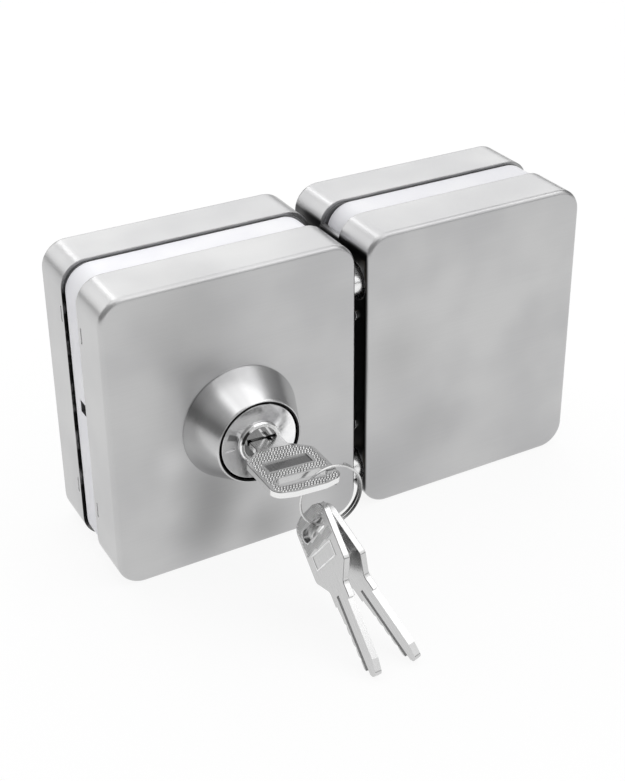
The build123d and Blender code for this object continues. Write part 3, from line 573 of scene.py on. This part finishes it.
# Painted black: the rim where it mirrors the dark upper left, and the keyway in shade.
rim_shadow = where_all(
    plug_tree, (plug_axis["Radius"], 5.5, 6.6, 0.2), (plug_axis["Turn"], 0.35, 0.47, 0.02)
)
keyway_shadow = where_all(
    plug_tree, (plug_parts["Z"], -1.6, 1.22, 0.12), (plug_parts["X"], -3.3, 5.6, 0.3)
)
keyway_shadow = math_node(plug_tree, "MULTIPLY", keyway_shadow, recess)
darkened(plug_chrome, math_node(plug_tree, "MAXIMUM", rim_shadow, keyway_shadow), 0.97)
print("plug nodes:", len(plug_tree.nodes))

# %% [markdown]
# ## White packing boards
#
# The boards that fill the glass slots are white foamed plastic. They have a very fine pebbled
# skin and a faint cold tint, a little uneven where they were handled, and the right one is painted
# greyer as painted shade. The walls of the small notch in the left board are painted dark as shade.

# %% Board plastic
white_board, board_tree, board_surface, board_place = start_material(
    "white_board", {"Roughness": 0.55, "Specular IOR Level": 0.35}
)
board_cloud = use_group(board_tree, cloud_group, {"Vector": board_place, "Scale": 40.0})["Mask"]
board_colour = colour_mix(board_tree, board_cloud, (0.86, 0.86, 0.9, 1), (0.93, 0.93, 0.95, 1))
board_tree.links.new(board_colour, board_surface.inputs["Base Color"])
board_parts = axes_of(board_tree, board_place)
# Painted shade: the boards are painted greyer towards the right.
shaded(white_board, math_node(board_tree, "MULTIPLY_ADD", board_parts["X"], -1.2, 0.92))
# Painted shade: the walls of the small notch in the left board are darkened.
notch_painted_shade = where_all(
    board_tree,
    (board_parts["X"], -85.5 * MM, -82.4 * MM, 0.05 * MM),
    (board_parts["Z"], 1.85 * MM, 6.15 * MM, 0.05 * MM),
)
darkened(white_board, notch_painted_shade, 0.9)
pebbles = add_node(
    board_tree, "ShaderNodeTexVoronoi", {"Vector": board_place, "Scale": 1600.0}
).outputs["Distance"]
add_bump(board_tree, board_surface, pebbles, 0.12, 0.03 * MM)
print("board nodes:", len(board_tree.nodes))

# %% [markdown]
# ## Where each key is
#
# The key in the cylinder lies three degrees off level. The spare keys hang by their slots on the
# first turn of the ring, lean forward and rest their tips on the table. The matrices below are
# the same turns and moves that place the solids, so the key's own space is known exactly.

# %% Key places
bow_far_end, blade_offset = -67.3, 1.4
key_thickness, key_length, tip_shift = 2.1, 52.5, 1.6
ring_centre = Vector((-32.285, -60.95, -10.82))
ring_radius, ring_pitch = 10.15, 1.3
ring_start, ring_end = 60.0, -450.0
slot_rest = 4.95


def turn(degrees, axis):
    return Matrix.Rotation(math.radians(degrees), 4, axis)


def wire_point(angle):
    """The middle of the ring's wire at an angle, on its way down the coil."""
    share = (ring_start - angle) / (ring_start - ring_end)
    rise = ring_pitch * (ring_start - ring_end) / 360 * (0.5 - share)
    around = math.radians(angle)
    offset = Vector((ring_radius * math.cos(around), rise, ring_radius * math.sin(around)))
    return ring_centre + offset


def hanging_place(ring_angle, lean, twist, tilt, along_slot):
    """A key that hangs upright by its slot, then leans, twists and tilts by degrees."""
    upright = Matrix(((0, 0, 1, 0), (-1, 0, 0, 0), (0, -1, 0, 0), (0, 0, 0, 1)))
    hung_by = Vector((along_slot, slot_rest, key_thickness / 2))
    swing = turn(tilt, "Y") @ turn(twist, "Z") @ turn(-lean, "X") @ upright
    return Matrix.Translation(wire_point(ring_angle)) @ swing @ Matrix.Translation(-hung_by)


key_places = {
    "key_in_lock": Matrix.Translation(cylinder_axis)
    @ turn(3.0, "Y")
    @ Matrix.Translation((blade_offset, bow_far_end, -key_thickness / 2)),
    "hanging_key_left": hanging_place(-118.1, 52.2, 1.5, 4.3, 1.1),
    "hanging_key_right": hanging_place(-97.0, 54.9, 9.5, -5.4, 2.7),
}
for key_name, place in key_places.items():
    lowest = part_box(key_name)[0].z
    tip = place @ Vector((tip_shift, key_length, key_thickness / 2))
    print(key_name, "tip", [round(v, 1) for v in tip], "lowest", round(lowest / MM, 1))

# %% [markdown]
# ## Key zones
#
# A key has a pale sawn edge all round, with a grimy bevel beside it, a dull panel on one face, and
# a painted shade line where its neck meets the plug. These areas follow the key, not the world, so
# the group takes the key's own millimetres: X across the bow, Y along it from the far end, and Z up
# from the plain face. Up says how far a surface faces along the key's Z.

# %% Zone group
zone_group, zone_in = start_group(
    "key_zones",
    [("Vector", "NodeSocketVector", None), ("Up", "NodeSocketFloat", 0.0)],
    [(label, "NodeSocketFloat") for label in ("Edge", "Rim", "Slot", "Panel", "Seam")],
)
along = axes_of(zone_group, zone_in["Vector"])
flatness = math_node(zone_group, "ABSOLUTE", zone_in["Up"])
zone_edge = math_node(zone_group, "MULTIPLY_ADD", flatness, -4.0, 3.0, clamp=True)
in_slot = where_all(zone_group, (along["X"], -8.4, 8.4, 0.1), (along["Y"], 3.9, 8.1, 0.1))
in_panel = where_all(
    zone_group, (along["X"], -7.2, 7.2, 0.1), (along["Y"], 12.2, 16.8, 0.1),
    (along["Z"], 1.6, 1.9, 0.1),
)
end_group(
    zone_group,
    {
        "Edge": zone_edge,
        "Rim": band(zone_group, flatness, 0.6, 0.85, 0.1),
        "Slot": math_node(zone_group, "MULTIPLY", in_slot, zone_edge),
        "Panel": in_panel,
        # Painted shade: a dark line across the neck where it meets the plug.
        "Seam": band(zone_group, along["Y"], 29.35, 29.8, 0.15),
    },
)

# %% [markdown]
# ## Key finish
#
# The keys are nickel plated steel. A Mapping node set to Texture turns the object's space into
# the key's own, and the normal of the object, measured along the key's own Z, tells the sawn
# edges from the faces. Fine scratches run along the blade. The edges of the key in the cylinder
# catch more light, so they are painted paler than those of the hanging keys, and only that key has
# a painted shade line at its neck.

# %% Key metal
ALONG_BLADE = (2.5, 0.15, 2.5)
face_dark, face_light, panel_grey, rim_grey, slot_share = 0.57, 0.63, 0.24, 0.32, 0.72


def key_finish(name, place, neck_shade, edge):
    """A key's metal, from its place, the painted shade at its neck and the grey of its edge."""
    material, tree, surface, position = start_material(name, {"Metallic": 1.0})
    own_space = add_node(
        tree, "ShaderNodeMapping",
        {
            "Vector": position, "Location": place.translation * MM,
            "Rotation": place.to_euler("XYZ"), "Scale": (MM, MM, MM),
        },
        vector_type="TEXTURE",
    ).outputs["Vector"]
    object_normal = tree.nodes["Texture Coordinate"].outputs["Normal"]
    own_z = place.to_3x3() @ Vector((0, 0, 1))
    up = vector_node(tree, "DOT_PRODUCT", object_normal, own_z)
    zones = use_group(tree, zone_group, {"Vector": own_space, "Up": up})
    grain = use_group(tree, grain_group, {"Vector": own_space, "Along": ALONG_BLADE})
    colour = colour_mix(tree, grain["Mask"], grey(face_dark), grey(face_light))
    for zone, value in (
        ("Panel", panel_grey), ("Edge", edge), ("Rim", rim_grey), ("Slot", slot_share * edge),
    ):
        colour = colour_mix(tree, zones[zone], colour, grey(value))
    tree.links.new(colour, surface.inputs["Base Color"])
    darkened(material, zones["Seam"], neck_shade)
    dullness = map_range(tree, grain["Mask"], (0.0, 1.0), (0.2, 0.28))
    tree.links.new(dullness, surface.inputs["Roughness"])
    add_bump(tree, surface, grain["Height"], 0.03, 0.03 * MM)
    return material


# Per key: the painted shade at the neck, and the edge grey, painted paler where edges catch more
# light.
key_shades = {
    "key_in_lock": (0.95, 0.86), "hanging_key_left": (0.0, 0.64), "hanging_key_right": (0.0, 0.62),
}
key_materials = {
    name: key_finish("nickel_" + name, place, *key_shades[name])
    for name, place in key_places.items()
}
print("key finishes:", list(key_materials))

# %% [markdown]
# ## Knurled bows
#
# A key's bow is pressed with small slanting ridges, which give a grip and, in the photograph, a
# sparkling hatch. A bump map would vanish at a low angle, so the ridges are real: a lattice of
# little roofs, each with four corners and a short crest, laid over the bow wherever all four
# corners have room. The room is the smallest distance to any border of the area: the outline, the
# panel, the slot, and the side bar that the ring has rubbed smooth. The bow is the same on both
# sides of its middle, so one side's borders do for both, apart from the bar.

# %% Knurl room
bow_half, bow_neck = 11.3, 24.2
bow_corner, bow_shoulder = ((9.7, 1.2), (11.3, 3.2)), ((11.3, 19.5), (5.2, 24.5))
panel_half_length, panel_half_width, panel_middle = 7.2, 2.25, 14.5
slot_straight, slot_half, slot_middle = 6.15, 1.9, 6.0
rubbed_from, rubbed_middle, rubbed_half = 8.0, 6.35, 1.5


def past_line(x, y, start, end):
    """Millimetres from a line to a point, positive on the left of the way from start to end."""
    run_x, run_y = end[0] - start[0], end[1] - start[1]
    return (run_x * (y - start[1]) - run_y * (x - start[0])) / math.hypot(run_x, run_y)


def knurl_room(x, y, limit):
    """Millimetres from a point to the border of the area up to a limit, negative outside it."""
    past_ring = max(rubbed_from - x, abs(y - rubbed_middle) - rubbed_half)
    x = abs(x)
    past_panel = max(x - panel_half_length, abs(y - panel_middle) - panel_half_width)
    past_slot = math.hypot(max(x - slot_straight, 0.0), y - slot_middle) - slot_half
    return min(
        bow_half - x, y, limit - y, past_line(x, y, *bow_corner), past_line(x, y, *bow_shoulder),
        past_panel, past_slot, past_ring,
    )


side_bars = [round(knurl_room(x, slot_middle, bow_neck), 2) for x in (-9.7, 9.7)]
print("room on the plain and the rubbed side bar:", side_bars, "mm")

# %% [markdown]
# ## Roofs and a frame
#
# Each roof stands on a slanted cell of the lattice. One side of the cell, the stroke, runs along
# the crest, and the other, the step, leads to the next roof. Every second row moves over by a
# quarter of a step, so that the crests don't join up into long lines. On the plain face the
# ridges are lower and stop before the panel, which is only a raised line there. The roots are
# sunk a hundredth of a millimetre into the key, so that no gap shows below them.

# %% Knurl mesh
stroke, step, row_shift = Vector((0.68, 0.86)), Vector((0.92, -0.12)), 0.25
rows, columns = range(-6, 34), range(-44, 26)
crest_from, crest_to = 0.22, 0.78
ridge_border, sunk = 0.25, 0.01
face_height, plain_height, plain_limit = 0.22, 0.16, 12.0
frame_width, frame_height, frame_top = 0.28, 0.14, 0.7


def add_roofs(mesh, level, height, limit):
    """Roofs on a face at a level in mm, which point down where the height is negative."""
    up = 1 if height > 0 else -1
    for row in rows:
        for column in columns:
            corner = row * stroke + (column + row_shift * (row % 2)) * step
            base = [corner, corner + step, corner + step + stroke, corner + stroke]
            if min(knurl_room(*point, limit) for point in base) < ridge_border:
                continue
            crest = [corner + step / 2 + stroke * share for share in (crest_from, crest_to)]
            low = [mesh.verts.new((*point, level)) for point in base]
            high = [mesh.verts.new((*point, level + height)) for point in crest]
            for face in (
                (low[0], low[1], high[0]),
                (low[1], low[2], high[1], high[0]),
                (low[2], low[3], high[1]),
                (low[3], low[0], high[0], high[1]),
            ):
                mesh.faces.new(face[::up])


def add_frame(mesh, level, height):
    """A raised line round the panel, which points down where the height is negative."""
    up = 1 if height > 0 else -1
    loops = []
    for share, lift in ((-1, 0.0), (-frame_top, height), (frame_top, height), (1, 0.0)):
        grow = share * frame_width
        half_x, half_y = panel_half_length + grow, panel_half_width + grow
        loops.append([
            mesh.verts.new((x * half_x, panel_middle + y * half_y, level + lift))
            for x, y in ((-1, -1), (1, -1), (1, 1), (-1, 1))
        ])
    for inner, outer in zip(loops, loops[1:]):
        for index in range(4):
            after = (index + 1) % 4
            face = (inner[index], outer[index], outer[after], inner[after])
            mesh.faces.new(face[::up])


knurl = bmesh.new()
add_roofs(knurl, key_thickness - sunk, face_height, bow_neck)
add_roofs(knurl, sunk, -plain_height, plain_limit)
add_frame(knurl, sunk, -frame_height)
knurl.transform(Matrix.Scale(MM, 4))
knurl_data = bpy.data.meshes.new("bow_knurl")
knurl.to_mesh(knurl_data)
knurl.free()
print("knurl faces on each key:", len(knurl_data.polygons))

# %% [markdown]
# ## Knurl finish
#
# The crests are paler and the valleys darker, much darker on the face with the panel.
# The height above the face is the object's own Z here, so the colour follows the real relief. The
# same mesh is used by all three keys, each placed by its matrix and riding on its key's body.

# %% Knurl finish
knurl_metal, knurl_tree, knurl_surface, knurl_place = start_material(
    "nickel_knurl", {"Metallic": 1.0, "Roughness": 0.3}
)
middle_z = key_thickness / 2 * MM
knurl_z = axes_of(knurl_tree, knurl_place)["Z"]
from_middle = math_node(
    knurl_tree, "ABSOLUTE", math_node(knurl_tree, "SUBTRACT", knurl_z, middle_z)
)
rise = map_range(knurl_tree, from_middle, (1.07 * MM, 1.16 * MM))
wear = use_group(knurl_tree, cloud_group, {"Vector": knurl_place, "Scale": 300.0})["Mask"]
crest_colour = colour_mix(knurl_tree, wear, grey(0.8), grey(0.98))
on_top = math_node(knurl_tree, "GREATER_THAN", knurl_z, middle_z)
valley_colour = colour_mix(knurl_tree, on_top, grey(0.42), grey(0.06))
knurl_colour = colour_mix(knurl_tree, rise, valley_colour, crest_colour)
knurl_tree.links.new(knurl_colour, knurl_surface.inputs["Base Color"])
knurl_data.materials.append(knurl_metal)

key_bodies = {
    "key_in_lock": "door_key",
    "hanging_key_left": "left_spare_key",
    "hanging_key_right": "right_spare_key",
}
for key_name, place in key_places.items():
    bow = add_object("knurl_of_" + key_name, knurl_data)
    bow.matrix_world = Matrix.Translation(place.translation * MM) @ place.to_3x3().to_4x4()
    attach(bow, key_bodies[key_name])
    print(bow.name, "rides on", key_bodies[key_name])

# %% [markdown]
# ## The split ring
#
# The ring is drawn spring wire, bright where it mirrors the white surroundings. Its lower right
# part, beside the keys, looks nearly black in the photograph. The patch group paints that part
# dark as a painted reflection of the keys.

# %% Ring wire
ring_wire = metal("ring_wire", (0.6, 0.6, 0.6), (0.8, 0.8, 0.8), 0.12, 0.22, EVEN, 0.05, edge=0.0)
# Painted reflection: a dark patch on the lower right of the ring, where it mirrors the keys.
add_patch(ring_wire, (-24, -61, -16), 12, 0.1)
print("ring radius:", ring_radius, "mm")

# %% [markdown]
# ## Dressing the CAD nodes
#
# A CAD solid whose shape is right stays, and only its material slots change. One list per finish
# names the nodes, so a reader sees which real parts share a finish. A last check counts that
# each node has been dressed.

# %% Dress the nodes
finishes = {
    satin_steel: [
        "lock_front_cover", "lock_back_cover", "strike_front_cover", "strike_back_cover",
        "lock_spine", "strike_spine",
    ],
    turned_steel: ["cone_escutcheon"],
    chrome_face: ["cylinder_body"],
    plug_chrome: ["plug"],
    bright_steel: ["keeper_screws"],
    bolt_polish: ["upper_bolt", "lower_bolt"],
    jaw_zinc: [
        "lock_front_jaw", "lock_back_jaw", "strike_front_jaw", "strike_back_jaw",
        "upper_bolt_guide", "lower_bolt_guide", "upper_socket", "lower_socket",
    ],
    screw_steel: [
        "lock_clamp_screws", "lock_spine_screws", "strike_clamp_screws", "strike_spine_screws",
        "pinion_screw", "bolt_screws", "guide_screws", "keeper_foot_screws", "carriage_pins",
        "bolt_carriage", "drive_pinion", "strike_keeper",
    ],
    brass: ["key_pins", "driver_pins", "pin_caps", "cylinder_nut", "bolt_bushes"],
    spring_steel: ["pin_springs", "plug_clip"],
    white_board: ["lock_filler_board", "strike_filler_board"],
    ring_wire: ["split_ring"],
}
finish_of = {name: material for material, names in finishes.items() for name in names}
finish_of.update(key_materials)
for name, material in finish_of.items():
    slots = nodes[name].data.materials
    slots.clear()
    slots.append(material)
print("dressed:", len(finish_of), "left bare:", sorted(set(nodes) - set(finish_of)))

# %% [markdown]
# ## Floor
#
# The lock stands on a white table. For the camera, and for rays that metal sends back, the floor
# is mostly plain white, with the shadow of the object mixed in. So the picture keeps a white
# ground, and the fronts, which mirror the table, look pale.

# %% Floor
table_level = cad_box[0].z
floor_half = 4
floor_corners = [
    (x * floor_half, y * floor_half, table_level) for x, y in ((-1, -1), (1, -1), (1, 1), (-1, 1))
]
floor_mesh = bpy.data.meshes.new("studio_floor")
floor_mesh.from_pydata(floor_corners, [], [(0, 1, 2, 3)])
floor = add_object("studio_floor", floor_mesh)

floor_material, floor_tree, floor_surface, _ = start_material(
    "studio_floor", {"Roughness": 0.8, "Base Color": grey(1.0)}
)
floor_glow = add_node(
    floor_tree, "ShaderNodeEmission", {"Color": grey(1.0), "Strength": 1.0}
).outputs[0]
rays = add_node(floor_tree, "ShaderNodeLightPath").outputs
seen = math_node(floor_tree, "MAXIMUM", rays["Is Camera Ray"], rays["Is Glossy Ray"])
seen = math_node(floor_tree, "MAXIMUM", seen, rays["Is Transmission Ray"])
white_share = math_node(floor_tree, "MULTIPLY", seen, 0.88)
floor_mix = add_node(
    floor_tree, "ShaderNodeMixShader", {0: white_share, 1: floor_surface.outputs[0], 2: floor_glow}
).outputs[0]
floor_tree.links.new(floor_mix, floor_tree.nodes["Material Output"].inputs["Surface"])
floor_mesh.materials.append(floor_material)
print("floor at", round(table_level / MM, 1), "mm")

# %% [markdown]
# ## Lamps
#
# The lamps are large, as in a product photograph, because a satin surface shows a lamp as a broad
# soft patch. Each one stands where a face mirrors it to the camera. The tops mirror the back lamp,
# the rounded upper left corners the side lamp, with the strip as a line between the two, and the
# bevels above the fronts the narrow edge lamp. The front lamp softly lights the fronts, and the
# top lamp the table and the upper half of the rose.

# %% Lamps
def add_lamp(name, place, size, watts):
    data = bpy.data.lights.new(name, "AREA")
    data.shape = "RECTANGLE"
    data.size, data.size_y = size
    data.energy = watts
    lamp = add_object(name, data)
    lamp.location = place
    lamp.rotation_euler = (-Vector(place)).to_track_quat("-Z", "Y").to_euler()
    radiance = watts / (math.pi * size[0] * size[1])
    print(name, "radiance", round(radiance, 2))


add_lamp("top_lamp", (0.08, 0.05, 1.0), (1.6, 1.3), 6.4)
add_lamp("back_lamp", (0.85, 1.6, 0.9), (2.0, 1.1), 7.9)
add_lamp("strip_lamp", (-0.15, 1.6, 1.3), (0.25, 0.8), 1.6)
add_lamp("side_lamp", (-0.95, 1.6, 0.8), (1.3, 1.2), 5.4)
add_lamp("front_lamp", (0.9, -1.6, 0.95), (2.4, 1.4), 8.0)
add_lamp("edge_lamp", (0.6, -0.64, 1.05), (1.6, 0.22), 1.4)

# %% [markdown]
# ## Sky
#
# The sky fills the shadows. It is dimmer near the horizon, so that steep walls turn a darker grey
# than flat ones. The camera itself sees plain white, like the paper behind a product.

# %% Sky
sky_low, sky_high, high_from, sky_strength = 0.28, 0.75, 0.6, 0.62
sky = bpy.data.worlds.new("studio_sky")
sky.use_nodes = True
bpy.context.scene.world = sky
sky_tree = sky.node_tree
sky_tree.nodes.clear()
sky_place = add_node(sky_tree, "ShaderNodeTexCoord").outputs["Generated"]
sky_ramp = add_node(sky_tree, "ShaderNodeValToRGB", {"Fac": axes_of(sky_tree, sky_place)["Z"]})
for stop, position, value in zip(
    sky_ramp.color_ramp.elements, (0.0, high_from), (sky_low, sky_high)
):
    stop.position, stop.color = position, grey(value)
sky_light = add_node(
    sky_tree, "ShaderNodeBackground", {"Color": sky_ramp.outputs["Color"], "Strength": sky_strength}
).outputs[0]
sky_white = add_node(
    sky_tree, "ShaderNodeBackground", {"Color": grey(1.0), "Strength": 1.0}
).outputs[0]
sky_camera = add_node(sky_tree, "ShaderNodeLightPath").outputs["Is Camera Ray"]
sky_mix = add_node(
    sky_tree, "ShaderNodeMixShader", {0: sky_camera, 1: sky_light, 2: sky_white}
).outputs[0]
add_node(sky_tree, "ShaderNodeOutputWorld", {"Surface": sky_mix})
bpy.context.scene.view_settings.view_transform = "Standard"
print("sky nodes:", len(sky_tree.nodes))
